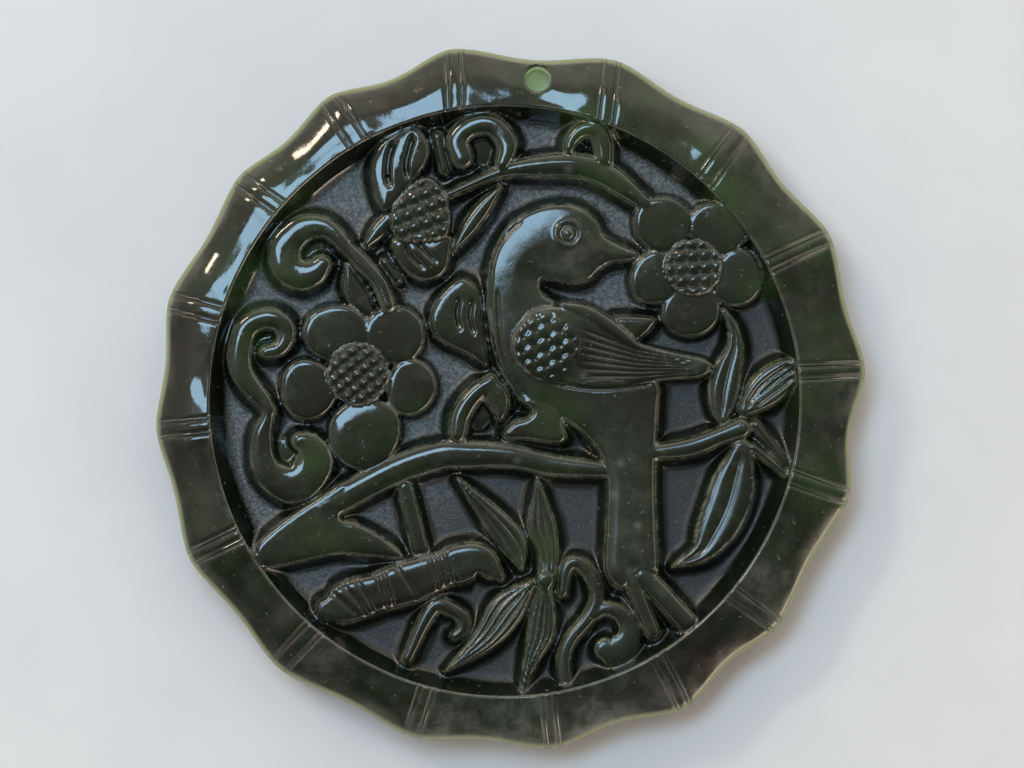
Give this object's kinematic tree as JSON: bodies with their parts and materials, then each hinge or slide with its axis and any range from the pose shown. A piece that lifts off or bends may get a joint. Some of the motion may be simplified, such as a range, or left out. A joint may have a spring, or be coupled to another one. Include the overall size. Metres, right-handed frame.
{
  "type": "carved stone pendant",
  "caption": "Round dark green stone pendant with a bamboo-jointed rim, carved in relief with a bird among blossoms and leaves, pierced near the edge for a cord.",
  "frame": {"origin": "middle of the flat back, at the centre of the bounding box's bottom", "axes": "+Z out of the carved front; +Y towards the top of the picture, with the cord hole 5 degrees to its right"},
  "size_m": [0.0567, 0.0559, 0.006],
  "materials": {
    "stone": "polished opaque dark green stone"
  },
  "bodies": {
    "root": {"pendant": "stone"}
  },
  "joints": []
}
